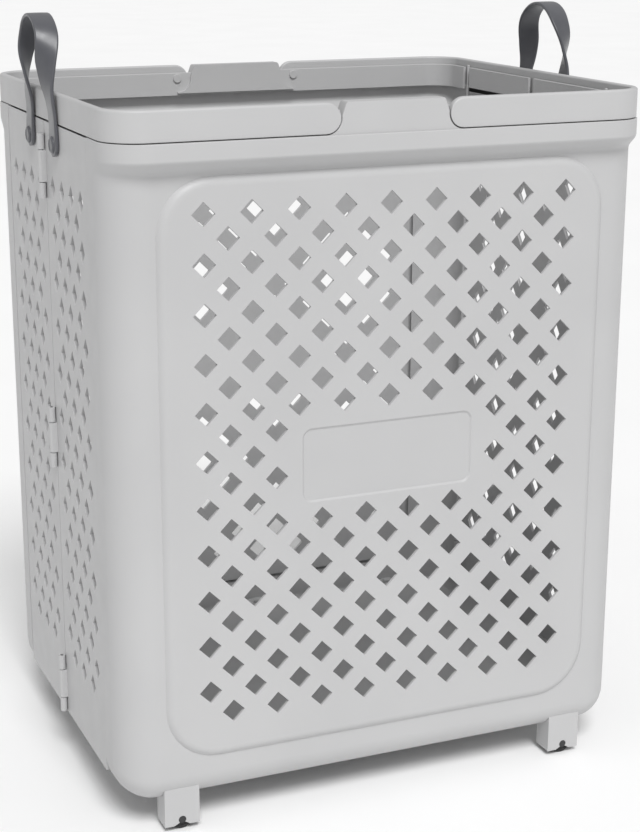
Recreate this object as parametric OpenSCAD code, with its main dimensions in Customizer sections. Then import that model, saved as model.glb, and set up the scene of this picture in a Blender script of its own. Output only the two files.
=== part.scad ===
// Folding linen trolley: two tub-shaped shells joined by two perforated leaves a side that
// fold inwards, with swing-up rim frames, strap handles, floor flaps and four small casters.
// X runs across the trolley, the front faces -Y, and Z = 0 is the ground under the wheels.
// Pieces that repeat are drawn once, at the front left, and mirrored by place().

/* [Body] */
// Width over the two side walls
body_w = 474; // [468:1:480]
// Depth over the flat front and rear walls
body_d = 354; // [352:1:358]
// Thickness of the moulded walls
wall = 3; // [2.5:0.1:3.2]
// Radius of the vertical corners
corner_r = 33; // [30:1:36]
// Radius of the bottom corners, seen from the front
bottom_corner_r = 30; // [26:1:32]
// Radius of the bottom front and rear edges
bottom_edge_r = 24; // [22:1:26]
// Height of the shells' underside above the ground
bottom_z = 27.5; // [27:0.5:29]
// Height of the ledge that the rim rests over
ledge_z = 582.6; // [580:0.2:600]
// How far the collar stands proud of the front and rear walls
flare = 13; // [12:0.5:14]

/* [Rim] */
// Height of the rim bars
rim_h = 24.6; // [22:0.2:27]
// Thickness of the rim bars
rim_t = 6; // [5.5:0.1:6.5]
// Distance of each rim pivot from the middle
pivot_x = 60; // [50:1:80]

/* [Lattice] */
// Step between rows of diamonds, and between columns on the shells
pitch = 20; // [19:0.5:20.5]
// Half of a diamond's height, and of its width on the shells
diamond = 9.8; // [8:0.1:10.4]
// Step between columns of diamonds on the leaves
leaf_pitch = 14.3; // [13:0.1:15]
// Half of a diamond's width on the leaves
leaf_diamond = 7.5; // [6:0.1:8]
// Number of rows of diamonds
rows = 22; // [20:1:22]

/* [Hinges] */
// Radial clearance of a hinge pin in its bore
fit = 0.06; // [0.03:0.01:0.1]
// Radial clearance of the one loose pivot, at the front right corner
loose_fit = 0.3; // [0.2:0.05:0.4]
// Half-width of the floor flaps at the walls
flap_w = 216; // [200:1:216]
// Half-width of the floor flaps where they meet
flap_tip_w = 166; // [150:1:168]

/* [Straps] */
// Width of the strap band
strap_w = 19; // [16:1:20]
// Height of the top of the strap loops
strap_top_z = 670; // [655:1:690]

/* [Casters] */
// Distance of each caster from the middle
caster_x = 185; // [160:1:190]
// Radius of the wheels
wheel_r = 10; // [9.5:0.1:10.5]
// Width of the caster blocks
caster_w = 31; // [28:1:34]

/* [Hidden] */

$fn = 64;
LEFT = -1;
RIGHT = 1;
FRONT = -1;
REAR = 1;
tall = 900;
half_w = body_w / 2;
half_d = body_d / 2;

// fold line between a shell and the leaves beside it
seam_y = 128;
seam_gap = 0.6;

// levels of the collar, the upstand behind the rim and the rim itself
flare_z = ledge_z - 26.6;
collar_z = flare_z + 12;
upstand_z = ledge_z + 18.4;
rim_z = ledge_z + 0.8;
rim_top_z = rim_z + rim_h;
pivot_z = rim_z + rim_h / 2;
rim_inset = 0.8;
rim_y = half_d + flare - 2;
upstand_gap = 1.6;
upstand_t = 2.6;
upstand_inset = rim_t + upstand_gap;
rim_pin_r = 2.5;
rim_pin_head_r = 4;
rim_pin_head_t = 1.5;
nose_r = rim_h / 2;
nose_gap = 0.9;

// lattice panel in each shell, and the blank label recess in its middle
panel_w = 384;
panel_low = 72;
panel_high = 549;
panel_r = 40;
panel_raise = 4;
panel_bevel = 6;
panel_land = 0.6;
row_z = 526;
last_col = 8;
label_w = 156;
label_h = 64.6;
label_z = 312.7;
label_r = 9;
label_depth = 1.5;
label_cols = 4;
label_rows = [9, 12];

// leaves
leaf_t = 3.2;
leaf_x = half_w - 0.3;
leaf_low = 44;
leaf_high = ledge_z - 0.6;
leaf_row_z = row_z + 3;
leaf_last_col = 3;
leaf_web_t = 5;
leaf_gap = 0.5;

// corner hinges, between a shell and a leaf: an axis inside the wall
corner_x = half_w - 9;
corner_hinge_z = [90, 310, 535];
corner_hinge_h = 53;
corner_knuckle_h = 14;
corner_knuckle_r = 2.8;
corner_rod_r = 1.5;
rod_low = 60;
rod_high = ledge_z + 20.4;

// middle hinges, between two leaves: an axis outside the wall
mid_x = half_w + 3;
mid_hinge_z = [72, 306.5, 544.5];
mid_hinge_h = 55;
mid_knuckle_h = 13.5;
mid_knuckle_r = 3;
mid_pin_r = 1.2;
mid_tab_t = 2.4;
knuckle_gap = 0.5;

// floor flaps, their hinges and the ledges on the leaves that they rest on
floor_axis_y = half_d - 8;
floor_axis_z = 50.4;
floor_top_z = floor_axis_z - 0.4;
floor_t = 3;
flap_straight = 70;
floor_hinge_x = [-150, 0, 150];
floor_knuckle_r = 2.8;
floor_knuckle_h = 20;
floor_lug_h = 10;
floor_lug_x = 15.5;
floor_pin_r = 1.2;
ledge_lap = 7;
ledge_t = 2.6;
ledge_web_t = 2.4;
ledge_web_h = 16;

// straps and their buttons
strap_t = 3;
strap_foot_y = 39;
strap_foot_z = 557;
strap_x = leaf_x + 0.3 + strap_t / 2;
arch_r = 33;
arch_z = strap_top_z - arch_r - strap_t / 2;
loop_steps = 56;
button_z = 566.5;
button_shaft_r = 2.5;
button_head_r = 7.2;
button_head_t = 2;
button_cap_r = 5;
button_cap_t = 1.5;
strap_hole_r = 3.3;

// casters
caster_y = half_d - 13.5;
caster_d = 21;
caster_low = 5;
caster_high = 45;
wheel_w = 15;
wheel_bore_r = 3.4;
wheel_well_d = 16.4;
wheel_well_r = wheel_r + 1.3;
axle_r = 3.3;
keyhole_w = 5;
keyhole_foot_w = 14;

module plastic() {
    color([0.84, 0.84, 0.85]) children();
}

module steel() {
    color([0.75, 0.76, 0.78]) children();
}

module place(side, end) {
    mirror([side == RIGHT ? 1 : 0, 0, 0])
        mirror([0, end == REAR ? 1 : 0, 0])
            children();
}

// ---------- shared outlines ----------

// rectangle with true round corners
module rounded_rect(w, h, r) {
    square([w - 2 * r, h], center = true);
    square([w, h - 2 * r], center = true);
    for (x = [-1, 1], y = [-1, 1])
        translate([x * (w / 2 - r), y * (h / 2 - r)]) circle(r = r);
}

// plan of the rim bars' outer face, moved in by inset
module rim_plan(inset) {
    rounded_rect(body_w - 2 * (rim_inset + inset), 2 * (rim_y - inset), corner_r - inset);
}

// the tub's outer form, moved in by inset and cut level at top
module tub(inset, top) {
    low = bottom_z + inset;
    intersection() {
        translate([0, 0, low]) linear_extrude(top - low)
            rounded_rect(body_w - 2 * inset, body_d - 2 * inset, corner_r - inset);
        translate([0, half_d, low + tall / 2]) rotate([90, 0, 0]) linear_extrude(body_d)
            rounded_rect(body_w - 2 * inset, tall, bottom_corner_r - inset);
        translate([-half_w, 0, low + tall / 2]) rotate([90, 0, 90]) linear_extrude(body_w)
            rounded_rect(body_d - 2 * inset, tall, bottom_edge_r - inset);
    }
}

// the collar at the top, which flares forwards and backwards
module collar(inset, top) {
    y0 = half_d - inset;
    y1 = y0 + flare;
    z0 = flare_z - 0.5;
    intersection() {
        translate([0, 0, z0]) linear_extrude(top - z0)
            rounded_rect(body_w - 2 * inset, 2 * y1, corner_r + 2 - inset);
        translate([-half_w, 0, 0]) rotate([90, 0, 90]) linear_extrude(body_w)
            polygon([[-y0, z0], [-y0, flare_z + inset / 2], [-y1, collar_z + inset / 2],
                     [-y1, top], [y1, top], [y1, collar_z + inset / 2],
                     [y0, flare_z + inset / 2], [y0, z0]]);
    }
}

module diamond_hole(half_width, half_height) {
    rotate([90, 0, 0]) linear_extrude(6 * wall, center = true)
        polygon([[-half_width, 0], [0, -half_height], [half_width, 0], [0, half_height]]);
}

// ---------- shells ----------

// tab that stands between the ends of the two rim frames
// bevelled border that brings the window's edge forward to the panel
module panel_border() {
    h = panel_high - panel_low;
    translate([0, -half_d, (panel_high + panel_low) / 2]) rotate([90, 0, 0]) hull() {
        translate([0, 0, -1]) linear_extrude(1)
            rounded_rect(panel_w + 2 * panel_bevel, h + 2 * panel_bevel, panel_r + panel_bevel);
        linear_extrude(panel_raise)
            rounded_rect(panel_w + 2 * panel_land, h + 2 * panel_land, panel_r + panel_land);
    }
}

module rim_tab() {
    difference() {
        translate([0, -half_d + 1, 0]) rotate([90, 0, 0]) linear_extrude(rim_y - half_d + 1)
            polygon([[-pivot_x, ledge_z - 1], [pivot_x, ledge_z - 1], [pivot_x, rim_z],
                     [pivot_x - 14.6, pivot_z + 3], [pivot_x - 17.5, rim_top_z],
                     [17.5 - pivot_x, rim_top_z], [14.6 - pivot_x, pivot_z + 3], [-pivot_x, rim_z]]);
        for (x = [-pivot_x, pivot_x])
            translate([x, 0, pivot_z]) rotate([90, 0, 0])
                cylinder(r = nose_r + nose_gap, h = tall);
    }
}

// two knuckles at each corner hinge, on short brackets from the wall's edge
module shell_knuckles() {
    for (z = corner_hinge_z, end = [0, corner_hinge_h - corner_knuckle_h], x = [-1, 1]) {
        low = z - corner_hinge_h / 2 + end;
        translate([x * corner_x, -seam_y, low]) cylinder(r = corner_knuckle_r, h = corner_knuckle_h);
        translate([x > 0 ? corner_x : -half_w + 1, -seam_y - corner_knuckle_r, low])
            cube([half_w - 1 - corner_x, corner_knuckle_r - seam_gap, corner_knuckle_h]);
    }
}

// lugs on the wall that carry the floor hinge pins
module floor_lugs() {
    for (x = floor_hinge_x, s = [-floor_lug_x, floor_lug_x])
        translate([x + s, -floor_axis_y, floor_axis_z]) {
            rotate([0, 90, 0]) cylinder(r = floor_knuckle_r, h = floor_lug_h, center = true);
            translate([-floor_lug_h / 2, floor_axis_y - half_d + wall - 0.5, -1.4])
                cube([floor_lug_h, half_d - wall + 0.5 - floor_axis_y, 2.8]);
        }
}

module shell_bores() {
    for (x = [-corner_x, corner_x])
        translate([x, -seam_y, 0]) cylinder(r = corner_rod_r + fit, h = ledge_z);
    for (x = floor_hinge_x)
        translate([x, -floor_axis_y, floor_axis_z]) rotate([0, 90, 0])
            cylinder(r = floor_pin_r + fit, h = 3 * floor_knuckle_h, center = true);
    for (x = [-pivot_x, pivot_x])
        translate([x, -half_d + 6, pivot_z]) rotate([90, 0, 0])
            cylinder(r = rim_pin_r + fit, h = 10);
}

module shell(end) {
    plastic() place(LEFT, end) difference() {
        union() {
            difference() {
                union() {
                    tub(0, flare_z + 0.5);
                    collar(0, ledge_z);
                    translate([0, 0, ledge_z - 1]) linear_extrude(upstand_z - ledge_z + 1)
                        rim_plan(upstand_inset);
                    rim_tab();
                    panel_border();
                }
                tub(wall, flare_z + 0.5);
                collar(wall, ledge_z - wall);
                translate([0, 0, collar_z]) linear_extrude(tall) rim_plan(upstand_inset + upstand_t);
                // everything behind the fold line
                translate([-tall / 2, -seam_y - seam_gap, 0]) cube([tall, tall, tall]);
                // the ledge and upstand stop short of the corner hinges
                for (x = [-corner_x, corner_x])
                    translate([x, -seam_y, collar_z + tall / 2])
                        cube([2 * (half_w - wall - corner_x) - 0.2, 13, tall], center = true);
                // window that the lattice panel fills
                translate([0, -half_d, (panel_high + panel_low) / 2]) rotate([90, 0, 0])
                    linear_extrude(6 * wall, center = true)
                        rounded_rect(panel_w, panel_high - panel_low, panel_r);
            }
            shell_knuckles();
            floor_lugs();
        }
        shell_bores();
    }
}

module lattice(end) {
    front = -half_d - panel_raise;
    plastic() place(LEFT, end) difference() {
        translate([0, front + wall, (panel_high + panel_low) / 2]) rotate([90, 0, 0])
            linear_extrude(wall) rounded_rect(panel_w, panel_high - panel_low, panel_r);
        translate([0, front + label_depth, label_z]) rotate([90, 0, 0])
            linear_extrude(wall) rounded_rect(label_w, label_h, label_r);
        for (row = [0 : rows - 1], col = [-last_col + row % 2 : 2 : last_col])
            if (abs(col) > label_cols || row < label_rows[0] || row > label_rows[1])
                translate([col * pitch, front, row_z - row * pitch])
                    diamond_hole(diamond, diamond);
    }
}

// ---------- leaves ----------

module leaf_plate() {
    difference() {
        translate([-leaf_x, -seam_y + seam_gap, leaf_low])
            cube([leaf_t, seam_y - seam_gap - leaf_gap, leaf_high - leaf_low]);
        for (row = [0 : rows - 1], col = [-leaf_last_col + row % 2 : 2 : leaf_last_col])
            translate([-leaf_x, -seam_y / 2 + col * leaf_pitch, leaf_row_z - row * pitch])
                rotate([0, 0, 90]) diamond_hole(leaf_diamond, diamond);
    }
}

// shelf along the leaf's top and the upstand that stands on it behind the rim
module leaf_upstand() {
    out_x = half_w - rim_inset - upstand_inset;
    long = seam_y - 9;
    translate([-leaf_x + 1, -seam_y + 5, leaf_high - leaf_web_t])
        cube([leaf_x - 1 - out_x + upstand_t, long, leaf_web_t]);
    translate([-out_x, -seam_y + 5, leaf_high - leaf_web_t])
        cube([upstand_t, long, upstand_z - leaf_high + leaf_web_t]);
}

module leaf_corner_barrels() {
    long = corner_hinge_h - 2 * (corner_knuckle_h + knuckle_gap);
    for (z = corner_hinge_z) {
        translate([-corner_x, -seam_y, z]) cylinder(r = corner_knuckle_r, h = long, center = true);
        translate([-half_w + 2, -seam_y + seam_gap, z - long / 2])
            cube([half_w - 2 - corner_x, corner_knuckle_r - seam_gap, long]);
    }
}

// a knuckle outside the wall, with the tab that joins it to the leaf
module mid_knuckle(low, long) {
    translate([-mid_x, 0, low]) {
        cylinder(r = mid_knuckle_r, h = long);
        translate([0, -mid_knuckle_r, 0]) cube([mid_x - leaf_x + 1, mid_tab_t, long]);
    }
}

module leaf_mid_knuckles(end) {
    for (z = mid_hinge_z, low = [z - mid_hinge_h / 2])
        if (end == REAR) {
            mid_knuckle(low, mid_knuckle_h);
            mid_knuckle(low + mid_hinge_h - mid_knuckle_h, mid_knuckle_h);
        } else {
            mid_knuckle(low + mid_knuckle_h + knuckle_gap,
                        mid_hinge_h - 2 * (mid_knuckle_h + knuckle_gap));
        }
}

module leaf(side, end) {
    corner_fit = side == RIGHT && end == FRONT ? loose_fit : fit;
    plastic() place(side, end) difference() {
        union() {
            leaf_plate();
            leaf_upstand();
            leaf_corner_barrels();
            leaf_mid_knuckles(end);
        }
        translate([-corner_x, -seam_y, 0]) cylinder(r = corner_rod_r + corner_fit, h = ledge_z);
        translate([-mid_x, 0, 0]) cylinder(r = mid_pin_r + fit, h = ledge_z);
        translate([-leaf_x, -strap_foot_y, button_z]) rotate([0, 90, 0])
            cylinder(r = button_shaft_r + fit, h = 20, center = true);
    }
}

// ---------- floor ----------

// ledge along the foot of a leaf that carries the edge of the floor flaps
module floor_ledge(side, end) {
    x0 = leaf_x - leaf_t;
    y0 = -floor_axis_y + flap_straight;
    plastic() place(side, end) {
        translate([0, 0, leaf_low]) linear_extrude(ledge_t)
            polygon([[-x0, y0 - 14], [-flap_w + ledge_lap, y0 - 4],
                     [-flap_tip_w + ledge_lap, -0.8], [-x0, -0.8]]);
        translate([-x0, y0 - 10, leaf_low]) cube([ledge_web_t, 6 - y0, ledge_web_h]);
    }
}

module floor_flap(end) {
    y0 = -floor_axis_y;
    plastic() place(LEFT, end) difference() {
        union() {
            translate([0, 0, floor_top_z - floor_t]) linear_extrude(floor_t)
                polygon([[-flap_w, y0 + 4], [-flap_w, y0 + flap_straight], [-flap_tip_w, -0.7],
                         [flap_tip_w, -0.7], [flap_w, y0 + flap_straight], [flap_w, y0 + 4]]);
            for (x = floor_hinge_x)
                translate([x, y0, floor_axis_z]) {
                    rotate([0, 90, 0])
                        cylinder(r = floor_knuckle_r, h = floor_knuckle_h, center = true);
                    translate([-floor_knuckle_h / 2, 0, -floor_knuckle_r])
                        cube([floor_knuckle_h, 6, floor_knuckle_r + floor_top_z - floor_axis_z]);
                }
        }
        for (x = floor_hinge_x)
            translate([x, y0, floor_axis_z]) rotate([0, 90, 0])
                cylinder(r = floor_pin_r + fit, h = 2 * floor_knuckle_h, center = true);
    }
}

module floor_pins(end) {
    steel() place(LEFT, end) for (x = floor_hinge_x)
        translate([x, -floor_axis_y, floor_axis_z]) rotate([0, 90, 0])
            cylinder(r = floor_pin_r, h = 2 * floor_lug_x + floor_lug_h, center = true);
}

// ---------- rim ----------

// one U-shaped bar that runs from pivot to pivot round one side, with round ends
module rim_frame(side) {
    plastic() place(side, FRONT) difference() {
        intersection() {
            difference() {
                translate([0, 0, rim_z]) linear_extrude(rim_h) rim_plan(0);
                translate([0, 0, rim_z - 1]) linear_extrude(rim_h + 2) rim_plan(rim_t);
            }
            union() {
                translate([-half_w - pivot_x, -half_w, 0]) cube([half_w, body_w, tall]);
                translate([-pivot_x, 0, pivot_z]) rotate([90, 0, 0])
                    cylinder(r = nose_r, h = body_w, center = true);
            }
        }
        for (y = [-1, 1])
            translate([-pivot_x, y * (rim_y - rim_t), pivot_z]) rotate([90, 0, 0])
                cylinder(r = rim_pin_r + fit, h = 2 * rim_t - 1, center = true);
    }
}

module rim_pins(end) {
    inner_y = rim_y - upstand_inset - upstand_t;
    shaft = upstand_inset + upstand_t - 1.8;
    plastic() place(LEFT, end) for (x = [-pivot_x, pivot_x])
        translate([x, -inner_y, pivot_z]) rotate([90, 0, 0]) {
            cylinder(r = rim_pin_r, h = shaft);
            translate([0, 0, -rim_pin_head_t]) cylinder(r = rim_pin_head_r, h = rim_pin_head_t);
        }
}

// ---------- hinge rods and pins ----------

module hinge_rod(side, end) {
    plastic() place(side, end) translate([-corner_x, -seam_y, rod_low])
        cylinder(r = corner_rod_r, h = rod_high - rod_low);
}

module mid_pins(side) {
    steel() place(side, FRONT) for (z = mid_hinge_z)
        translate([-mid_x, 0, z]) cylinder(r = mid_pin_r, h = mid_hinge_h, center = true);
}

// ---------- straps ----------

function smooth(t) = let (c = min(1, max(0, t))) c * c * (3 - 2 * c);

// the band stands off the wall where it passes the rim
function loop_x(z) = strap_x + 3 * smooth((z - 586) / 34) - 3.2 * smooth((z - 632) / 26);

// centre line: up the front leg, over the arch and down the rear leg, as u goes from -1 to 1
function loop_point(u) =
    let (a = abs(u), side = u < 0 ? -1 : 1, arch = 0.45)
    a > arch
        ? let (t = (1 - a) / (1 - arch), z = strap_foot_z + t * (arch_z - strap_foot_z))
          [loop_x(z), side * (strap_foot_y + (arch_r - strap_foot_y) * smooth(t)), z]
        : let (q = 90 * a / arch, z = arch_z + arch_r * cos(q))
          [loop_x(z), side * arch_r * sin(q), z];

// direction of the band's width: along the wall at the feet, square to it at the top
function loop_width(u) =
    let (turn = 90 * smooth((loop_point(u)[2] - 596) / 72))
    [-sin(turn), (u < 0 ? -1 : 1) * cos(turn), 0];

function loop_ring(u) =
    let (p = loop_point(u),
         step = loop_point(min(1, u + 0.01)) - loop_point(max(-1, u - 0.01)),
         along = step / norm(step),
         flat = loop_width(u),
         across = flat - (flat * along) * along,
         w = across / norm(across) * strap_w / 2,
         t = cross(along, w) / norm(w) * strap_t / 2)
    [p + w + t, p - w + t, p - w - t, p + w - t];

module strap(side) {
    points = [for (i = [0 : loop_steps]) each loop_ring(2 * i / loop_steps - 1)];
    last = 4 * loop_steps;
    walls = [for (i = [0 : loop_steps - 1], k = [0 : 3])
        let (a = 4 * i + k, b = 4 * i + (k + 1) % 4)
        each [[a, b, b + 4], [a, b + 4, a + 4]]];
    caps = [[3, 2, 1, 0], [last, last + 1, last + 2, last + 3]];
    color([0.33, 0.33, 0.36]) mirror([side == LEFT ? 1 : 0, 0, 0]) difference() {
        polyhedron(points, concat(caps, walls));
        for (y = [-strap_foot_y, strap_foot_y])
            translate([strap_x, y, button_z]) rotate([0, 90, 0])
                cylinder(r = strap_hole_r, h = 4 * strap_t, center = true);
    }
}

module strap_button(side, end) {
    head_x = strap_x + strap_t / 2 + 0.2;
    inner_x = leaf_x - leaf_t;
    color([0.33, 0.33, 0.36]) place(side, end)
        translate([0, -strap_foot_y, button_z]) rotate([0, -90, 0]) {
            translate([0, 0, inner_x - button_cap_t]) cylinder(r = button_cap_r, h = button_cap_t);
            translate([0, 0, inner_x - 0.5]) cylinder(r = button_shaft_r, h = head_x - inner_x + 1);
            translate([0, 0, head_x]) cylinder(r = button_head_r, h = button_head_t);
        }
}

// ---------- casters ----------

module at_caster(side, end) {
    place(side, end) translate([-caster_x, -caster_y, wheel_r]) rotate([90, 0, 0]) children();
}

module caster_housing(side, end) {
    plastic() difference() {
        place(side, end) translate([-caster_x, -caster_y, (caster_low + caster_high) / 2])
            cube([caster_w, caster_d, caster_high - caster_low], center = true);
        tub(0, flare_z);
        at_caster(side, end) {
            // wheel well, open below
            translate([-wheel_well_r, -2 * wheel_r, -wheel_well_d / 2])
                cube([2 * wheel_well_r, 2 * wheel_r + wheel_well_r, wheel_well_d]);
            cylinder(r = axle_r + fit, h = 2 * caster_d, center = true);
            // slot that the axle is pushed up through
            translate([0, 0, -caster_d]) linear_extrude(2 * caster_d)
                polygon([[-keyhole_w / 2, 0], [-keyhole_w / 2, -keyhole_w / 2],
                         [-keyhole_foot_w / 2, caster_low - wheel_r], [-keyhole_foot_w / 2, -2 * wheel_r],
                         [keyhole_foot_w / 2, -2 * wheel_r], [keyhole_foot_w / 2, caster_low - wheel_r],
                         [keyhole_w / 2, -keyhole_w / 2], [keyhole_w / 2, 0]]);
        }
    }
}

module wheel(side, end) {
    color([0.10, 0.10, 0.11]) at_caster(side, end) difference() {
        cylinder(r = wheel_r, h = wheel_w, center = true);
        cylinder(r = wheel_bore_r, h = 2 * wheel_w, center = true);
    }
}

module axle(side, end) {
    steel() at_caster(side, end) cylinder(r = axle_r, h = caster_d, center = true);
}

// ---------- the trolley ----------

shell(REAR);  // rear_shell
shell(FRONT);  // front_shell
lattice(REAR);  // rear_lattice
lattice(FRONT);  // front_lattice
leaf(LEFT, REAR);  // left_rear_leaf
leaf(LEFT, FRONT);  // left_front_leaf
leaf(RIGHT, REAR);  // right_rear_leaf
leaf(RIGHT, FRONT);  // right_front_leaf
floor_ledge(LEFT, REAR);  // left_rear_floor_ledge
floor_ledge(LEFT, FRONT);  // left_front_floor_ledge
floor_ledge(RIGHT, REAR);  // right_rear_floor_ledge
floor_ledge(RIGHT, FRONT);  // right_front_floor_ledge
rim_frame(LEFT);  // left_rim_frame
rim_frame(RIGHT);  // right_rim_frame
rim_pins(REAR);  // rear_rim_pins
rim_pins(FRONT);  // front_rim_pins
hinge_rod(LEFT, REAR);  // left_rear_hinge_rod
hinge_rod(LEFT, FRONT);  // left_front_hinge_rod
hinge_rod(RIGHT, REAR);  // right_rear_hinge_rod
hinge_rod(RIGHT, FRONT);  // right_front_hinge_rod
mid_pins(LEFT);  // left_mid_hinge_pins
mid_pins(RIGHT);  // right_mid_hinge_pins
strap(LEFT);  // left_strap
strap(RIGHT);  // right_strap
strap_button(LEFT, REAR);  // left_rear_strap_button
strap_button(LEFT, FRONT);  // left_front_strap_button
strap_button(RIGHT, REAR);  // right_rear_strap_button
strap_button(RIGHT, FRONT);  // right_front_strap_button
floor_flap(REAR);  // rear_floor_flap
floor_flap(FRONT);  // front_floor_flap
floor_pins(REAR);  // rear_floor_pins
floor_pins(FRONT);  // front_floor_pins
caster_housing(LEFT, REAR);  // left_rear_caster_housing
caster_housing(LEFT, FRONT);  // left_front_caster_housing
caster_housing(RIGHT, REAR);  // right_rear_caster_housing
caster_housing(RIGHT, FRONT);  // right_front_caster_housing
wheel(LEFT, REAR);  // left_rear_wheel
wheel(LEFT, FRONT);  // left_front_wheel
wheel(RIGHT, REAR);  // right_rear_wheel
wheel(RIGHT, FRONT);  // right_front_wheel
axle(LEFT, REAR);  // left_rear_axle
axle(LEFT, FRONT);  // left_front_axle
axle(RIGHT, REAR);  // right_rear_axle
axle(RIGHT, FRONT);  // right_front_axle
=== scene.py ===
import math

import bmesh
import bpy
from mathutils import Matrix, Vector


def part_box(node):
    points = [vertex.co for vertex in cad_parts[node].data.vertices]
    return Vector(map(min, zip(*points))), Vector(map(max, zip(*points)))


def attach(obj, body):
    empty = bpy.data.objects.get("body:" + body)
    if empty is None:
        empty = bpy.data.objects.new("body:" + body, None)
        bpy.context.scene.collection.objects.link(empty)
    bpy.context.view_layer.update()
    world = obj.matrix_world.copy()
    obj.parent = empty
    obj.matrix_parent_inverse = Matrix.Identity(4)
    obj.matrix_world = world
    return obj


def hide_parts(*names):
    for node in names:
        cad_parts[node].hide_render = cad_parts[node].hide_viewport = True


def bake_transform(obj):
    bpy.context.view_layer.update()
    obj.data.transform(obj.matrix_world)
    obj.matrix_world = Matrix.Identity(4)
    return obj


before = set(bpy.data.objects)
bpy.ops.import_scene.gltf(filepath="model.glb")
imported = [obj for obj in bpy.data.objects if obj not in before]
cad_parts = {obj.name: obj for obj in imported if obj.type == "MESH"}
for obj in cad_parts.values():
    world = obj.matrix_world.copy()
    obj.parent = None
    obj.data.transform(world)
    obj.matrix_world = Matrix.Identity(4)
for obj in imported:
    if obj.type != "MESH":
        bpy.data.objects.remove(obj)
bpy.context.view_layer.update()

# The looks of a folding linen trolley, in metres. X runs across it and its front faces -Y.
# Shells, rims, leaves and straps are built here with their true rounding; the small fittings
# keep the frame's shapes, with softened edges.

SIDES = (("left", -1), ("right", 1))
ENDS = (("front", -1), ("rear", 1))
SHELL_BODY = {"front": "front_shell", "rear": "root"}

# ---------- sizes, from the frame where it holds them ----------
shell_low, shell_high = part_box("front_shell")
rim_low, rim_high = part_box("left_rim_frame")
panel_low, panel_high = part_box("front_lattice")
leaf_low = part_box("left_front_leaf")[0]
strap_low, strap_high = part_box("right_strap")

# shells: half width, half depth under the collar, and the collar's step out
HALF_W = shell_high.x
COLLAR_Y = -shell_low.y
FLARE = 0.013
FLARE_H = 0.0132
HALF_D = COLLAR_Y - FLARE
BOTTOM_Z = shell_low.z
WALL = 0.003
CORNER_R = 0.033
BOTTOM_R_FRONT = 0.024
BOTTOM_R_SIDE = 0.030
SEAM_Y = 0.1286
# the ledge that the rim lies on, the wall that stands up behind it, and the rim
LEDGE_Z = rim_low.z - 0.0008
LIP_R = 0.0009
UPSTAND_Z = LEDGE_Z + 0.0184
UPSTAND_Y = 0.1345
UPSTAND_T = 0.0026
RIM_T = 0.006
UPSTAND_INSET = RIM_T + 0.0016
RIM_X = -rim_low.x
RIM_Y = -rim_low.y
PIVOT_X = -rim_high.x + (rim_high.z - rim_low.z) / 2
PIVOT_Z = (rim_low.z + rim_high.z) / 2
NOSE_R = (rim_high.z - rim_low.z) / 2
# the window in the shell's wall, whose border rises to the perforated panel
WINDOW_X = 0.198
WINDOW_LOW = 0.066
WINDOW_HIGH = 0.555
WINDOW_R = 0.046
WINDOW_BEVEL = 0.008
PANEL_Y = -panel_low.y
# diamond holes: pitch between rows and columns, and half diagonals
PITCH = 0.020
DIAMOND = 0.0098
LEAF_PITCH = 0.0143
LEAF_DIAMOND = 0.0075
ROWS = 22
TOP_ROW_Z = 0.526
LAST_COL = 8
# the label recess, and the rows and columns without holes round it
LABEL_HALF_W = 0.078
LABEL_HALF_H = 0.0323
LABEL_Z = 0.3127
LABEL_R = 0.009
LABEL_DEPTH = 0.0015
LABEL_ROWS = (9, 12)
LABEL_COLS = 4
# leaves and the hinges that carry them
LEAF_X = HALF_W - 0.0003
LEAF_T = 0.0032
LEAF_HALF_D = 0.06335
LEAF_MID_Y = 0.06405
CORNER_HINGE_X = HALF_W - 0.009
CORNER_HINGE_Y = 0.128
CORNER_HINGE_Z = (0.090, 0.310, 0.535)
MID_HINGE_X = HALF_W + 0.003
MID_HINGE_Z = (0.072, 0.3065, 0.5445)
KNUCKLE_R = 0.0028
FLOOR_HINGE_Y = 0.008 - HALF_D
FLOOR_HINGE_Z = 0.0504
FLOOR_HINGE_X = (-0.150, 0.0, 0.150)
CORNER_STEPS = 12
BORDER_STEPS = 8


# ---------- mesh tools ----------
def smooth(t):
    """Eases from 0 to 1, flat at both ends."""
    t = min(1.0, max(0.0, t))
    return t * t * (3 - 2 * t)


def arc_steps(count):
    """Angles of a quarter turn, ends included."""
    return [math.radians(90 * k / count) for k in range(count + 1)]


def finish_piece(bm, name, material, body, nodes, sharp=35.0, rear=False):
    """Turns a bmesh into a shaded piece that rides on a body and stands for CAD nodes."""
    if rear:
        half_turn = Matrix.Rotation(math.pi, 3, "Z")
        bmesh.ops.rotate(bm, verts=bm.verts, cent=(0, 0, 0), matrix=half_turn)
    bmesh.ops.recalc_face_normals(bm, faces=bm.faces)
    mesh = bpy.data.meshes.new(name)
    bm.to_mesh(mesh)
    bm.free()
    mesh.shade_smooth()
    mesh.set_sharp_from_angle(angle=math.radians(sharp))
    piece = bpy.data.objects.new(name, mesh)
    bpy.context.scene.collection.objects.link(piece)
    piece.data.materials.append(material)
    weighted = piece.modifiers.new("even_shading", "WEIGHTED_NORMAL")
    weighted.keep_sharp = True
    weighted.weight = 80
    if body:
        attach(piece, body)
    if nodes:
        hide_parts(*nodes)
    return piece


def loft(bm, rows, skip=None, closed=False):
    """Quads between rows of points; closed joins each row's end to its start."""
    grid = [[bm.verts.new(p) for p in row] for row in rows]
    count = len(grid[0])
    for j in range(len(grid) - 1):
        for i in range(count if closed else count - 1):
            if skip and skip(j, i):
                continue
            k = (i + 1) % count
            bm.faces.new((grid[j][i], grid[j][k], grid[j + 1][k], grid[j + 1][i]))
    return grid


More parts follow.
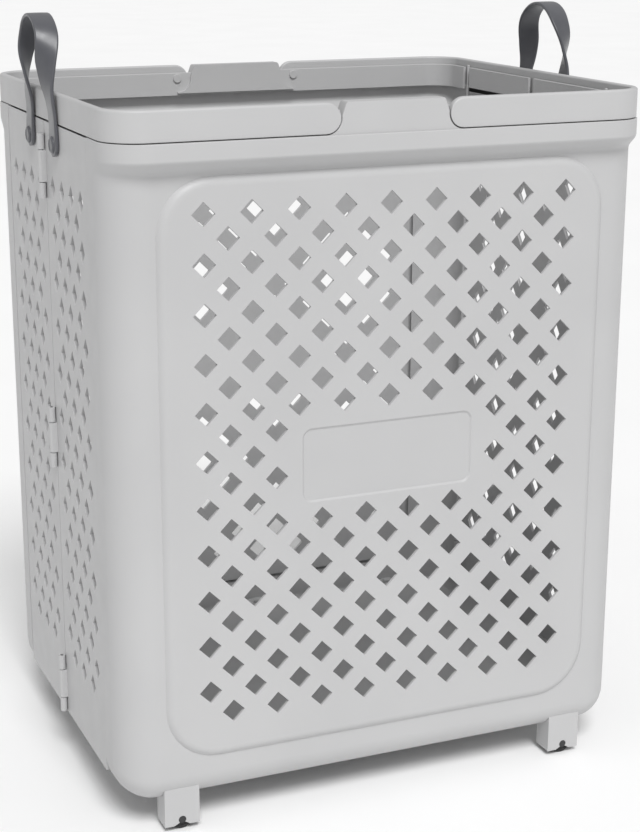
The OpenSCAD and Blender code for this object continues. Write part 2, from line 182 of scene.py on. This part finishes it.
def loop_edges(bm, verts):
    """The edges round a loop of vertices, made where they are missing."""
    edges = []
    for a, b in zip(verts, verts[1:] + verts[:1]):
        edges.append(bm.edges.get((a, b)) or bm.edges.new((a, b)))
    return edges


def fill(bm, loops, normal):
    """Fills the flat region between an outer loop and the holes in it."""
    edges = [e for verts in loops for e in loop_edges(bm, verts)]
    bmesh.ops.triangle_fill(bm, use_beauty=True, use_dissolve=False, edges=edges, normal=normal)


def bridge(bm, a, b):
    """A band of quads between two rings with as many points."""
    for i in range(len(a)):
        k = (i + 1) % len(a)
        bm.faces.new((a[i], a[k], b[k], b[i]))


def rounded_rect(half_u, low_v, high_v, r, steps=8):
    """Points of a rectangle with round corners, anticlockwise in (u, v)."""
    points = []
    corners = ((half_u - r, high_v - r, 0), (r - half_u, high_v - r, 90),
               (r - half_u, low_v + r, 180), (half_u - r, low_v + r, 270))
    for cu, cv, start in corners:
        for k in range(steps + 1):
            a = math.radians(start + 90 * k / steps)
            points.append((cu + r * math.cos(a), cv + r * math.sin(a)))
    return points


def diamond(u, v, half_u, half_v, corner=0.00025):
    """Points of a diamond whose four corners are slightly eased."""
    tips = ((half_u, 0), (0, half_v), (-half_u, 0), (0, -half_v))
    points = []
    for k, tip in enumerate(tips):
        for other in (tips[k - 1], tips[(k + 1) % 4]):
            step = corner / math.hypot(other[0] - tip[0], other[1] - tip[1])
            points.append((u + tip[0] + (other[0] - tip[0]) * step,
                           v + tip[1] + (other[1] - tip[1]) * step))
    return points


def perforated_plate(bm, place, outline, holes, thick, recess=None, ease=0.0002):
    """A flat plate with an eased edge round each hole; place maps (u, v, depth) to the world."""
    def ring(points, depth):
        return [bm.verts.new(place(u, v, depth)) for u, v in points]

    normal = Vector(place(0, 0, 0)) - Vector(place(0, 0, 1))
    front = [ring(outline, 0)]
    back = [ring(outline, thick)]
    bridge(bm, front[0], back[0])
    for hole in holes:
        rings = [ring(hole(ease), 0), ring(hole(0), ease), ring(hole(0), thick - ease),
                 ring(hole(ease), thick)]
        for a, b in zip(rings, rings[1:]):
            bridge(bm, a, b)
        front.append(rings[0])
        back.append(rings[-1])
    if recess:
        half_u, half_v, v0, r, depth = recess
        levels = [(0.0, 0.0), (0.0006, 0.1), (0.0012, 0.5), (0.0018, 0.9), (0.0024, 1.0)]
        rings = []
        for inset, part in levels:
            points = rounded_rect(half_u - inset, v0 - half_v + inset, v0 + half_v - inset, r - inset)
            rings.append(ring(points, depth * part))
        for a, b in zip(rings, rings[1:]):
            bridge(bm, a, b)
        bm.faces.new(rings[-1])
        front.append(rings[0])
    fill(bm, front, normal)
    fill(bm, back, -normal)


def rounded_box(bm, low, high, r=0.0005, segments=2):
    """A box with bevelled edges."""
    made = bmesh.ops.create_cube(bm, size=1.0)["verts"]
    size = [h - l for l, h in zip(low, high)]
    for v in made:
        v.co = Vector([l + (c + 0.5) * s for l, c, s in zip(low, v.co, size)])
    edges = list(dict.fromkeys(e for v in made for e in v.link_edges))
    bmesh.ops.bevel(bm, geom=edges, offset=r, segments=segments, profile=0.5, affect="EDGES")


def turned_rows(centre, axis, profile, steps):
    """Rings of points: each (radius, height) of the profile turned round an axis from centre."""
    turn = Vector((0, 0, 1)).rotation_difference(Vector(axis)).to_matrix()
    angles = [2 * math.pi * k / steps for k in range(steps)]
    return [[Vector(centre) + turn @ Vector((radius * math.cos(a), radius * math.sin(a), height))
             for a in angles] for radius, height in profile]


def lathe(bm, centre, axis, profile, steps=40):
    """Turns (radius, height) points round an axis from centre; both ends are closed."""
    grid = loft(bm, turned_rows(centre, axis, profile, steps), closed=True)
    bm.faces.new(grid[0])
    bm.faces.new(grid[-1])


def turned_pin(bm, centre, axis, radius, length, ease=0.0004):
    """A round pin or knuckle with eased ends."""
    lathe(bm, centre, axis, [(radius - ease, 0), (radius - 0.3 * ease, 0.3 * ease), (radius, ease),
                             (radius, length - ease), (radius - 0.3 * ease, length - 0.3 * ease),
                             (radius - ease, length)])


def softened(node, material, body, width, segments=2):
    """A CAD node's own shape with its edges rounded off."""
    bm = bmesh.new()
    bm.from_mesh(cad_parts[node].data)
    bmesh.ops.remove_doubles(bm, verts=bm.verts, dist=0.00002)
    bmesh.ops.dissolve_limit(bm, angle_limit=math.radians(1.0), verts=bm.verts, edges=bm.edges)
    sharp = [e for e in bm.edges if len(e.link_faces) == 2 and e.calc_face_angle(0) > math.radians(28)]
    bmesh.ops.bevel(bm, geom=sharp, offset=width, segments=segments, profile=0.5, affect="EDGES",
                    clamp_overlap=True)
    return finish_piece(bm, node + "_look", material, body, [node])


# ---------- materials ----------
class Nodes:
    """Short calls for building a material's node tree."""

    def __init__(self, name):
        self.material = bpy.data.materials.new(name)
        self.material.use_nodes = True
        self.tree = self.material.node_tree
        self.shader = self.tree.nodes["Principled BSDF"]
        self.place = self.add("ShaderNodeTexCoord").outputs["Object"]

    def add(self, kind, **values):
        node = self.tree.nodes.new(kind)
        for key, value in values.items():
            setattr(node, key, value)
        return node

    def link(self, source, target):
        self.tree.links.new(source, target)

    def noise(self, scale, detail=3.0, roughness=0.5):
        node = self.add("ShaderNodeTexNoise")
        node.inputs["Scale"].default_value = scale
        node.inputs["Detail"].default_value = detail
        node.inputs["Roughness"].default_value = roughness
        self.link(self.place, node.inputs["Vector"])
        return node.outputs["Fac"]

    def spread(self, fac, low, high):
        node = self.add("ShaderNodeMapRange")
        node.inputs["From Min"].default_value = 0.3
        node.inputs["From Max"].default_value = 0.7
        node.inputs["To Min"].default_value = low
        node.inputs["To Max"].default_value = high
        self.link(fac, node.inputs["Value"])
        return node.outputs["Result"]

    def ramp(self, fac, low, high):
        node = self.add("ShaderNodeMix", data_type="RGBA")
        self.link(self.spread(fac, 0.0, 1.0), node.inputs["Factor"])
        node.inputs[6].default_value = (*low, 1)
        node.inputs[7].default_value = (*high, 1)
        return node.outputs[2]

    def bump(self, heights, strength, distance):
        """Adds several (height, weight) textures into one bump."""
        total = None
        for height, weight in heights:
            scaled = self.add("ShaderNodeMath", operation="MULTIPLY")
            self.link(height, scaled.inputs[0])
            scaled.inputs[1].default_value = weight
            if total is None:
                total = scaled.outputs[0]
            else:
                both = self.add("ShaderNodeMath", operation="ADD")
                self.link(total, both.inputs[0])
                self.link(scaled.outputs[0], both.inputs[1])
                total = both.outputs[0]
        node = self.add("ShaderNodeBump")
        node.inputs["Strength"].default_value = strength
        node.inputs["Distance"].default_value = distance
        self.link(total, node.inputs["Height"])
        self.link(node.outputs["Normal"], self.shader.inputs["Normal"])


def moulded_plastic():
    """Pale grey polypropylene: a fine spark-eroded grain, faint flow shading, soft sheen."""
    m = Nodes("moulded_plastic")
    flow = m.noise(9.0, 2.0)
    m.link(m.ramp(flow, (0.492, 0.492, 0.496), (0.518, 0.518, 0.521)), m.shader.inputs["Base Color"])
    m.link(m.spread(m.noise(55.0, 4.0), 0.40, 0.50), m.shader.inputs["Roughness"])
    m.bump([(m.noise(2600.0, 2.0), 1.0), (m.noise(260.0, 3.0), 0.35)], 0.10, 0.0003)
    m.shader.inputs["Specular IOR Level"].default_value = 0.42
    return m.material


def strap_rubber():
    """Dark grey soft elastomer with a light sheen and a faint pebble."""
    m = Nodes("strap_rubber")
    m.link(m.ramp(m.noise(40.0, 4.0), (0.074, 0.076, 0.086), (0.096, 0.098, 0.109)),
           m.shader.inputs["Base Color"])
    m.link(m.spread(m.noise(90.0, 4.0), 0.30, 0.40), m.shader.inputs["Roughness"])
    m.bump([(m.noise(1800.0, 2.0), 1.0), (m.noise(180.0, 3.0), 0.5)], 0.14, 0.0003)
    m.shader.inputs["Sheen Weight"].default_value = 0.15
    return m.material


def wheel_rubber():
    """Black tyre rubber, scuffed to a dull grey in places."""
    m = Nodes("wheel_rubber")
    m.link(m.ramp(m.noise(150.0, 5.0), (0.010, 0.010, 0.011), (0.026, 0.026, 0.027)),
           m.shader.inputs["Base Color"])
    m.link(m.spread(m.noise(300.0, 4.0), 0.50, 0.68), m.shader.inputs["Roughness"])
    m.bump([(m.noise(1500.0, 3.0), 1.0)], 0.2, 0.0003)
    return m.material


def axle_plastic():
    """Dark grey glass-filled nylon."""
    m = Nodes("axle_plastic")
    m.link(m.ramp(m.noise(400.0, 4.0), (0.022, 0.022, 0.023), (0.036, 0.036, 0.038)),
           m.shader.inputs["Base Color"])
    m.link(m.spread(m.noise(500.0, 3.0), 0.34, 0.46), m.shader.inputs["Roughness"])
    m.bump([(m.noise(2200.0, 2.0), 1.0)], 0.1, 0.0002)
    return m.material


def drawn_wire():
    """Bright drawn steel wire with fine lines along it."""
    m = Nodes("drawn_wire")
    m.link(m.ramp(m.noise(120.0, 4.0), (0.52, 0.53, 0.55), (0.66, 0.67, 0.69)),
           m.shader.inputs["Base Color"])
    m.shader.inputs["Metallic"].default_value = 1.0
    m.link(m.spread(m.noise(900.0, 4.0), 0.24, 0.36), m.shader.inputs["Roughness"])
    m.bump([(m.noise(2500.0, 2.0), 1.0)], 0.12, 0.0002)
    return m.material


def studio_floor():
    """Plain pale paper, hardly varied."""
    m = Nodes("studio_floor")
    m.link(m.ramp(m.noise(3.0, 2.0), (0.92, 0.92, 0.92), (0.94, 0.94, 0.94)),
           m.shader.inputs["Base Color"])
    m.shader.inputs["Roughness"].default_value = 0.9
    return m.material


PLASTIC = moulded_plastic()
STRAP = strap_rubber()
RUBBER = wheel_rubber()
NYLON = axle_plastic()
STEEL = drawn_wire()


# ---------- shells ----------
def wall_stations(half_w, half_d, r, y_end):
    """(point, normal) pairs from the left seam round the front corners to the right seam."""
    stations = [((-half_w, -y_end), (-1.0, 0.0))]
    for k in range(CORNER_STEPS + 1):
        a = math.radians(180 + 90 * k / CORNER_STEPS)
        n = (math.cos(a), math.sin(a))
        stations.append(((r - half_w + r * n[0], r - half_d + r * n[1]), n))
    stations.append(((-WINDOW_X - 0.0005, -half_d), (0.0, -1.0)))
    return stations + [((-p[0], p[1]), (-n[0], n[1])) for p, n in reversed(stations)]


def bottom_radius(normal):
    """The underside's edge is rounder at the ends of the shell than along its front."""
    return BOTTOM_R_FRONT + (BOTTOM_R_SIDE - BOTTOM_R_FRONT) * normal[0] ** 2


def window_outline(inset):
    return rounded_rect(WINDOW_X - inset, WINDOW_LOW + inset, WINDOW_HIGH - inset, WINDOW_R - inset)


def skin_rows(inset):
    """Rows of the wall's surface from the underside up to the ledge, moved in by inset."""
    half_w, half_d, r = HALF_W - inset, HALF_D - inset, CORNER_R - inset
    rows = []
    for a in arc_steps(10):
        row = []
        for p, n in wall_stations(half_w, half_d, r, SEAM_Y):
            turn = bottom_radius(n) - inset
            back = turn * (1 - math.sin(a))
            row.append((p[0] - n[0] * back, p[1] - n[1] * back,
                        BOTTOM_Z + inset + turn * (1 - math.cos(a))))
        rows.append(row)

    def level(z, flare=0.0):
        stations = wall_stations(half_w, half_d + flare, r + 0.2 * flare, SEAM_Y)
        rows.append([(p[0], p[1], z) for p, n in stations])

    level(WINDOW_LOW - 0.0005)
    level(WINDOW_HIGH + 0.0005)
    flare_z = LEDGE_Z - 2 * FLARE_H + 0.4 * inset
    for k in range(11):
        level(flare_z + FLARE_H * k / 10, FLARE * smooth(k / 10))
    return rows, level


def shell(end):
    """A tub-shaped shell in one skin, drawn at the front and turned round for the rear."""
    bm = bmesh.new()
    outer, outer_level = skin_rows(0.0)
    outer_level(LEDGE_Z - LIP_R, FLARE)
    stations = wall_stations(HALF_W, HALF_D + FLARE, CORNER_R + 0.002, SEAM_Y)
    for a in arc_steps(3)[1:]:
        back = LIP_R * (1 - math.cos(a))
        z = LEDGE_Z - LIP_R + LIP_R * math.sin(a)
        outer.append([(p[0] - n[0] * back, p[1] - n[1] * back, z) for p, n in stations])
    inner, inner_level = skin_rows(WALL)
    inner_level(LEDGE_Z, FLARE)

    last = len(outer[0]) - 1
    # the flat face between the corners, in the row above the bottom's arc, is left open
    window_col = CORNER_STEPS + 2
    window_row = 11

    def window(j, i):
        return j == window_row and i == window_col

    out = loft(bm, outer, skip=window)
    inn = loft(bm, inner, skip=window)
    for i in range(last):
        bm.faces.new((out[-1][i], out[-1][i + 1], inn[-1][i + 1], inn[-1][i]))
    bm.faces.new(out[0])
    bm.faces.new(inn[0])
    seam = [row[0] for row in reversed(out)] + [row[last] for row in out]
    seam += [row[last] for row in reversed(inn)] + [row[0] for row in inn]
    bm.faces.new(seam)

    # the window's soft border, and its plain edge inside
    def corners(grid):
        j, i = window_row, window_col
        return [grid[j][i], grid[j][i + 1], grid[j + 1][i + 1], grid[j + 1][i]]

    rings = []
    for k in range(BORDER_STEPS + 1):
        t = k / BORDER_STEPS
        points = window_outline(WINDOW_BEVEL * t)
        y = -HALF_D + (HALF_D - PANEL_Y) * (1 - (1 - t) ** 2.3)
        rings.append([bm.verts.new((u, y, v)) for u, v in points])
    for a, b in zip(rings, rings[1:]):
        bridge(bm, a, b)
    fill(bm, [corners(out), rings[0]], (0, -1, 0))
    points = rounded_rect(panel_high.x, panel_low.z, panel_high.z, 0.040)
    hole = [bm.verts.new((u, WALL - HALF_D, v)) for u, v in points]
    fill(bm, [corners(inn), hole], (0, 1, 0))

    upstand(bm)
    rim_tab(bm)
    shell_fittings(bm)
    return finish_piece(bm, f"{end}_shell_look", PLASTIC, SHELL_BODY[end], [f"{end}_shell"],
                        rear=end == "rear")


def upstand(bm):
    """The ledge's inner half and the low wall that stands behind the rim."""
    near, far = UPSTAND_INSET, UPSTAND_INSET + UPSTAND_T
    profile = [(0.002, LEDGE_Z - 0.003), (0.002, LEDGE_Z - 0.0001), (near - 0.0007, LEDGE_Z - 0.0001),
               (near - 0.0002, LEDGE_Z + 0.0001), (near, LEDGE_Z + 0.0007)]
    profile += [(near, UPSTAND_Z - 0.0008), (near + 0.0003, UPSTAND_Z - 0.0002),
                (near + 0.0008, UPSTAND_Z), (far - 0.0008, UPSTAND_Z),
                (far - 0.0003, UPSTAND_Z - 0.0002), (far, UPSTAND_Z - 0.0008), (far, LEDGE_Z - 0.003)]
    stations = wall_stations(RIM_X, RIM_Y, CORNER_R, UPSTAND_Y)
    rows = [[(p[0] - n[0] * back, p[1] - n[1] * back, z) for back, z in profile] for p, n in stations]
    grid = loft(bm, rows, closed=True)
    bm.faces.new(grid[0])
    bm.faces.new(grid[-1])


def tab_outline():
    """Half of the tab between the rim ends: a foot, then a hollow round the rim's nose."""
    points = [(PIVOT_X, LEDGE_Z - 0.001), (PIVOT_X, LEDGE_Z)]
    gap = NOSE_R + 0.0009
    for k in range(13):
        a = math.radians(270 - 90 * k / 12 * 1.08)
        points.append((PIVOT_X + gap * math.cos(a), PIVOT_Z + gap * math.sin(a)))
    points.append((PIVOT_X - 0.0166, rim_high.z - 0.0012))
    points.append((PIVOT_X - 0.0178, rim_high.z))
    return points


def rim_tab(bm):
    """The tab between the two rim frames, with softly rounded edges."""
    half = tab_outline()
    outline = half + [(-x, z) for x, z in reversed(half)]
    middle = (0.0, (LEDGE_Z + rim_high.z) / 2)
    rows = []
    levels = ((-HALF_D + 0.0018, 0.0), (-RIM_Y + 0.0012, 0.0), (-RIM_Y + 0.0004, 0.00035),
              (-RIM_Y, 0.0011))
    for y, inset in levels:
        row = []
        for x, z in outline:
            toward = Vector((middle[0] - x, middle[1] - z))
            step = toward.normalized() * (inset if z > LEDGE_Z else 0.0)
            row.append((x + step.x, y, z + step.y))
        rows.append(row)
    grid = loft(bm, rows, closed=True)
    bm.faces.new(grid[0])
    bm.faces.new(grid[-1])


def shell_fittings(bm):
    """Knuckles of the corner hinges, lugs of the floor hinge."""
    knuckle = 0.014
    for z in CORNER_HINGE_Z:
        for low in (z - 0.0265, z + 0.0125):
            for s in (-1, 1):
                turned_pin(bm, (s * CORNER_HINGE_X, -CORNER_HINGE_Y, low), (0, 0, 1), KNUCKLE_R, knuckle)
                xs = sorted((s * CORNER_HINGE_X, s * (HALF_W - 0.001)))
                rounded_box(bm, (xs[0], -0.1308, low), (xs[1], -SEAM_Y, low + knuckle), 0.0003)
    lug = 0.010
    for x in FLOOR_HINGE_X:
        for start in (x - 0.0155 - lug / 2, x + 0.0155 - lug / 2):
            turned_pin(bm, (start, FLOOR_HINGE_Y, FLOOR_HINGE_Z), (1, 0, 0), KNUCKLE_R, lug)
            rounded_box(bm, (start, -HALF_D + 0.0025, FLOOR_HINGE_Z - 0.0014),
                        (start + lug, FLOOR_HINGE_Y, FLOOR_HINGE_Z + 0.0014), 0.0003)


def lattice(end):
    """The raised panel with diamond holes and a recess for a label."""
    bm = bmesh.new()

    def place(u, v, depth):
        return (u, -PANEL_Y + depth, v)

    holes = []
    for row in range(ROWS):
        for col in range(-LAST_COL + row % 2, LAST_COL + 1, 2):
            if abs(col) <= LABEL_COLS and LABEL_ROWS[0] <= row <= LABEL_ROWS[1]:
                continue
            u, v = col * PITCH, TOP_ROW_Z - row * PITCH
            holes.append(lambda e, u=u, v=v: diamond(u, v, DIAMOND + e, DIAMOND + e))
    recess = (LABEL_HALF_W, LABEL_HALF_H, LABEL_Z, LABEL_R, LABEL_DEPTH)
    perforated_plate(bm, place, window_outline(WINDOW_BEVEL), holes, WALL, recess)
    return finish_piece(bm, f"{end}_lattice_look", PLASTIC, SHELL_BODY[end], [f"{end}_lattice"],
                        rear=end == "rear")


# ---------- leaves ----------
def leaf_ledge(bm):
    """The leaf's stretch of the ledge under the rim, and of the wall behind the rim."""
    inner_x = UPSTAND_INSET - RIM_X
    back, front, low = -0.004, -0.123, LEDGE_Z - 0.0056
    rounded_box(bm, (-LEAF_X + 0.001, front, low), (inner_x + UPSTAND_T, back, LEDGE_Z - 0.0006), 0.0004)
    rounded_box(bm, (inner_x, front, low), (inner_x + UPSTAND_T, back, UPSTAND_Z), 0.0007)


def leaf_knuckles(bm, end):
    """The leaf's knuckles: between a shell's pairs at the corner, one or two at the middle."""
    half = 0.012
    for z in CORNER_HINGE_Z:
        turned_pin(bm, (-CORNER_HINGE_X, -CORNER_HINGE_Y, z - half), (0, 0, 1), KNUCKLE_R, 2 * half)
        rounded_box(bm, (-HALF_W + 0.002, -0.1274, z - half), (-CORNER_HINGE_X, -0.1252, z + half), 0.0003)
    for z in MID_HINGE_Z:
        low = z - 0.0275
        spans = ((low, 0.0135), (low + 0.0415, 0.0135)) if end == "rear" else ((low + 0.014, 0.027),)
        for start, long in spans:
            turned_pin(bm, (-MID_HINGE_X, 0, start), (0, 0, 1), 0.003, long, ease=0.0007)
            rounded_box(bm, (-MID_HINGE_X - 0.0015, -0.003, start),
                        (-LEAF_X + 0.001, -0.0007, start + long), 0.0006)


def leaf(side, sx, end):
    """One folding side leaf, drawn at the front left and mirrored into place."""
    bm = bmesh.new()

    def place(u, v, depth):
        return (-LEAF_X + depth, u - LEAF_MID_Y, v)

    holes = []
    for row in range(ROWS):
        for col in range(-3 + row % 2, 4, 2):
            u, v = 0.00005 + col * LEAF_PITCH, TOP_ROW_Z + 0.003 - row * PITCH
            holes.append(lambda e, u=u, v=v: diamond(u, v, LEAF_DIAMOND + e, DIAMOND + e))
    outline = rounded_rect(LEAF_HALF_D, leaf_low.z, LEDGE_Z - 0.0006, 0.001, steps=2)
    perforated_plate(bm, place, outline, holes, LEAF_T)
    leaf_ledge(bm)
    leaf_knuckles(bm, end)
    for v in bm.verts:
        v.co.x *= -sx
        v.co.y *= 1 if end == "front" else -1
    return finish_piece(bm, f"{side}_{end}_leaf_look", PLASTIC, f"{side}_{end}_leaf",
                        [f"{side}_{end}_leaf"])


# ---------- rim ----------
def rim_section():
    """(inset, height) points round the bar's section, from its outer foot."""
    points = []
    low, high = rim_low.z, rim_high.z
    foot_r, outer_r, inner_r = 0.0006, 0.0022, 0.0018
    corners = ((foot_r, low + foot_r, foot_r, 270), (outer_r, high - outer_r, outer_r, 180),
               (RIM_T - inner_r, high - inner_r, inner_r, 90), (RIM_T - foot_r, low + foot_r, foot_r, 0))
    for cx, cz, r, start in corners:
        for k in range(5):
            a = math.radians(start - 90 * k / 4)
            points.append((cx + r * math.cos(a), cz + r * math.sin(a)))
    return points


def rim_frame(side, sx):
    """A U-shaped bar from one pivot round two corners to the other, with round noses."""
    section = rim_section()
    stations = []
    nose_turn = 82
    for k in range(7):
        a = math.radians(nose_turn - nose_turn * k / 6)
        stations.append(((-PIVOT_X + NOSE_R * math.sin(a), -RIM_Y), (0.0, -1.0), math.cos(a)))
    for k in range(CORNER_STEPS + 1):
        a = math.radians(270 - 90 * k / CORNER_STEPS)
        n = (math.cos(a), math.sin(a))
        corner = (CORNER_R - RIM_X + CORNER_R * n[0], CORNER_R - RIM_Y + CORNER_R * n[1])
        stations.append((corner, n, 1.0))
    stations += [((p[0], -p[1]), (n[0], -n[1]), h) for p, n, h in reversed(stations)]
    rows = []
    for p, n, h in stations:
        rows.append([(p[0] - n[0] * back, p[1] - n[1] * back, PIVOT_Z + (z - PIVOT_Z) * h)
                     for back, z in section])
    bm = bmesh.new()
    grid = loft(bm, rows, closed=True)
    bm.faces.new(grid[0])
    bm.faces.new(grid[-1])
    for v in bm.verts:
        v.co.x *= -sx
    return finish_piece(bm, f"{side}_rim_look", PLASTIC, f"{side}_rim_frame", [f"{side}_rim_frame"])


# ---------- straps ----------
STRAP_W = 0.019
STRAP_T = 0.003
STRAP_X = LEAF_X + 0.0003 + STRAP_T / 2
STRAP_TOP = strap_high.z
STRAP_FOOT = strap_low.z
ARCH_R = 0.033
FOOT_Y = 0.039
BUTTON_Z = 0.5665
ARCH_Z = STRAP_TOP - ARCH_R - STRAP_T / 2
ARCH_SHARE = 0.45


def strap_x(z):
    """The legs lean out above the button and back in towards the arch."""
    return STRAP_X + 0.0030 * smooth((z - 0.586) / 0.034) - 0.0032 * smooth((z - 0.632) / 0.026)


def strap_point(u):
    """Centre line: up the front leg, over the arch and down the rear leg, u from -1 to 1."""
    a, s = abs(u), (-1 if u < 0 else 1)
    if a > ARCH_SHARE:
        t = (1 - a) / (1 - ARCH_SHARE)
        z = STRAP_FOOT + t * (ARCH_Z - STRAP_FOOT)
        return Vector((strap_x(z), s * (FOOT_Y + (ARCH_R - FOOT_Y) * smooth(t)), z))
    q = math.radians(90 * a / ARCH_SHARE)
    z = ARCH_Z + ARCH_R * math.cos(q)
    return Vector((strap_x(z), s * ARCH_R * math.sin(q), z))


def strap_section(width, thick):
    """A band's section with rounded edges and a slight crown, as (across, through) points."""
    points = []
    r = 0.42 * thick
    across, through, crown = width / 2 - r, thick / 2 - r, thick / 2 + 0.00012
    corners = ((across, through, 0), (-across, through, 90), (-across, -through, 180),
               (across, -through, 270))
    for cx, cy, start in corners:
        for k in range(4):
            a = math.radians(start + 90 * k / 3)
            points.append((cx + r * math.cos(a), cy + r * math.sin(a)))
        if start in (0, 180):
            face = 1 if start == 0 else -1
            points += [(face * x * width / 4, face * crown) for x in (1, 0, -1)]
    return points


def strap(side, sx):
    """A band that stands flat on the leaves at its feet and turns through 90 degrees to the arch."""
    rows = []
    steps = 120
    for i in range(steps + 1):
        u = max(-0.9995, min(0.9995, 2 * i / steps - 1))
        p = strap_point(u)
        along = (strap_point(min(1, u + 0.01)) - strap_point(max(-1, u - 0.01))).normalized()
        turn = math.radians(90 * smooth((p.z - 0.596) / 0.072))
        flat = Vector((-math.sin(turn), (-1 if u < 0 else 1) * math.cos(turn), 0))
        w = (flat - flat.dot(along) * along).normalized()
        t = along.cross(w)
        foot = 1 - smooth((p.z - STRAP_FOOT - 0.016) / 0.012)
        tip = min(1.0, (p.z - STRAP_FOOT) / 0.0095)
        width = (STRAP_W + 0.002 * foot) * (math.sqrt(max(0.0, 1 - (1 - tip) ** 2)) * 0.92 + 0.08)
        thick = STRAP_T + 0.0005 * foot
        rows.append([p + w * a + t * b for a, b in strap_section(width, thick)])
    bm = bmesh.new()
    grid = loft(bm, rows, closed=True)
    bm.faces.new(grid[0])
    bm.faces.new(grid[-1])
    for v in bm.verts:
        v.co.x *= sx
    piece = finish_piece(bm, f"{side}_strap_look", STRAP, None, [f"{side}_strap"])
    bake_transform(piece)


def strap_button(side, sx, end, sy):
    """A domed button on the strap's face, and its washer inside the leaf."""
    bm = bmesh.new()
    centre = (STRAP_X + STRAP_T / 2 + 0.0002 - 0.007, sy * FOOT_Y, BUTTON_Z)
    lathe(bm, centre, (1, 0, 0), [(0.0025, 0), (0.0025, 0.0068), (0.0070, 0.0068), (0.0072, 0.0074),
                                  (0.0070, 0.0081), (0.0063, 0.0087), (0.0053, 0.0090), (0.0047, 0.0087),
                                  (0.0042, 0.0084), (0.0015, 0.0083)], steps=48)
    lathe(bm, (LEAF_X - LEAF_T - 0.0015, sy * FOOT_Y, BUTTON_Z), (1, 0, 0),
          [(0.0040, 0), (0.0048, 0.0002), (0.0050, 0.0006), (0.0050, 0.0015)])
    for v in bm.verts:
        v.co.x *= sx
    return finish_piece(bm, f"{side}_{end}_button_look", STRAP, f"{side}_{end}_leaf",
                        [f"{side}_{end}_strap_button"])


# ---------- casters ----------
def wheel(side, end):
    """A small tyre with round shoulders, turned round the axle's line."""
    low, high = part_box(f"{side}_{end}_wheel")
    centre = (low + high) / 2
    r, half = (high.z - low.z) / 2, (high.y - low.y) / 2
    bm = bmesh.new()
    edge_r, groove = 0.0014, 0.0006
    tread = [(0.0034, -half + groove), (0.0038, -half), (0.0052, -half), (0.0056, -half + groove),
             (0.0072, -half + groove), (0.0078, -half), (r - edge_r, -half)]
    tread += [(r - edge_r + edge_r * math.sin(a), -half + edge_r * (1 - math.cos(a))) for a in arc_steps(4)]
    profile = tread + [(radius, -height) for radius, height in reversed(tread)]
    rows = turned_rows(centre, (0, 1, 0), profile, 64)
    rows.append(rows[0])
    loft(bm, rows, closed=True)
    bmesh.ops.remove_doubles(bm, verts=bm.verts, dist=0.000001)
    return finish_piece(bm, f"{side}_{end}_wheel_look", RUBBER, f"{side}_{end}_wheel",
                        [f"{side}_{end}_wheel"])


def axle(side, end, body):
    """The dark pin that shows on both faces of a caster housing."""
    low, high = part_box(f"{side}_{end}_axle")
    centre = (low + high) / 2
    r = (high.z - low.z) / 2
    bm = bmesh.new()
    turned_pin(bm, (centre.x, low.y, centre.z), (0, 1, 0), r, high.y - low.y, ease=0.0005)
    return finish_piece(bm, f"{side}_{end}_axle_look", NYLON, body, [f"{side}_{end}_axle"])


# ---------- build ----------
for end, sy in ENDS:
    body = SHELL_BODY[end]
    shell(end)
    lattice(end)
    softened(f"{end}_floor_flap", PLASTIC, f"{end}_floor_flap", 0.0006)
    softened(f"{end}_rim_pins", PLASTIC, body, 0.0003)
    softened(f"{end}_floor_pins", STEEL, body, 0.0003)
    for side, sx in SIDES:
        softened(f"{side}_{end}_hinge_rod", PLASTIC, body, 0.0004)
        softened(f"{side}_{end}_caster_housing", PLASTIC, body, 0.0011, segments=3)
        axle(side, end, body)
        wheel(side, end)
        leaf(side, sx, end)
        softened(f"{side}_{end}_floor_ledge", PLASTIC, f"{side}_{end}_leaf", 0.0004)
        strap_button(side, sx, end, sy)
for side, sx in SIDES:
    rim_frame(side, sx)
    strap(side, sx)
    softened(f"{side}_mid_hinge_pins", STEEL, f"{side}_rear_leaf", 0.0002)


# ---------- stage ----------
def soft_sun(name, toward, strength, width):
    """A wide, even light that comes from one direction."""
    data = bpy.data.lights.new(name, "SUN")
    data.energy = strength
    data.angle = math.radians(width)
    light = bpy.data.objects.new(name, data)
    light.location = Vector(toward) * 3
    light.rotation_euler = (-Vector(toward)).to_track_quat("-Z", "Y").to_euler()
    bpy.context.scene.collection.objects.link(light)


def stage():
    """A wide pale floor, even light from all round and one soft sun from the front."""
    mesh = bpy.data.meshes.new("floor")
    mesh.from_pydata([(-30, -30, 0), (30, -30, 0), (30, 30, 0), (-30, 30, 0)], [], [(0, 1, 2, 3)])
    floor = bpy.data.objects.new("floor", mesh)
    floor.data.materials.append(studio_floor())
    bpy.context.scene.collection.objects.link(floor)
    world = bpy.data.worlds.new("studio")
    bpy.context.scene.world = world
    world.use_nodes = True
    world.node_tree.nodes["Background"].inputs["Color"].default_value = (1, 1, 1, 1)
    world.node_tree.nodes["Background"].inputs["Strength"].default_value = 0.45
    soft_sun("key", (-0.107, -0.606, 0.788), 2.35, 24)


def camera():
    """The photograph's viewpoint: a little above the rim, in front and to the left."""
    data = bpy.data.cameras.new("camera")
    data.sensor_width = 36
    data.lens = 76.18
    data.shift_x = 0.0170
    data.shift_y = 0.0014
    view = bpy.data.objects.new("camera", data)
    view.location = (-0.601, -1.452, 0.751)
    view.rotation_euler = (math.radians(73.93), 0, math.radians(-22.49))
    bpy.context.scene.collection.objects.link(view)
    bpy.context.scene.camera = view


stage()
camera()
bpy.context.scene.view_settings.view_transform = "Standard"
